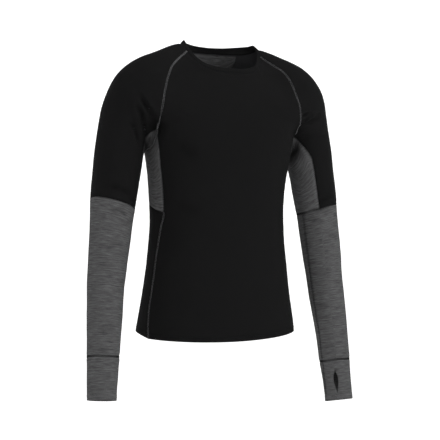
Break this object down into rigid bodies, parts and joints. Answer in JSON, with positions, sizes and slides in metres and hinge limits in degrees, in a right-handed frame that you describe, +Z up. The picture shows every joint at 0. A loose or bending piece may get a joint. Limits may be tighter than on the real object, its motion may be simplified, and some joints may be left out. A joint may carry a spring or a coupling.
{
  "type": "base layer top",
  "caption": "Long-sleeved raglan base layer top in black jersey with grey melange underarms, side panels, forearms and cuffs, filled out as worn.",
  "frame": {"origin": "between the shoulders on the garment's middle plane, level with the side of the neckband, where the wearer's shoulders carry it", "axes": "+Z up, -Y towards the front of the garment, +X towards the wearer's left sleeve"},
  "size_m": [0.6396, 0.252, 0.8191],
  "materials": {
    "black_jersey": "fine matt jersey knit, nearly black",
    "grey_melange": "heathered jersey knit in mid and dark grey with level streaks"
  },
  "bodies": {
    "root": {"front_panel": "black_jersey", "back_panel": "black_jersey", "neckband": "black_jersey", "neck_facing": "grey_melange", "side_panel_lower_left": "black_jersey", "side_panel_upper_left": "grey_melange", "sleeve_upper_left": "black_jersey", "underarm_panel_left": "grey_melange", "forearm_left": "grey_melange", "cuff_left": "grey_melange", "side_panel_lower_right": "black_jersey", "side_panel_upper_right": "grey_melange", "sleeve_upper_right": "black_jersey", "underarm_panel_right": "grey_melange", "forearm_right": "grey_melange", "cuff_right": "grey_melange"}
  },
  "joints": []
}
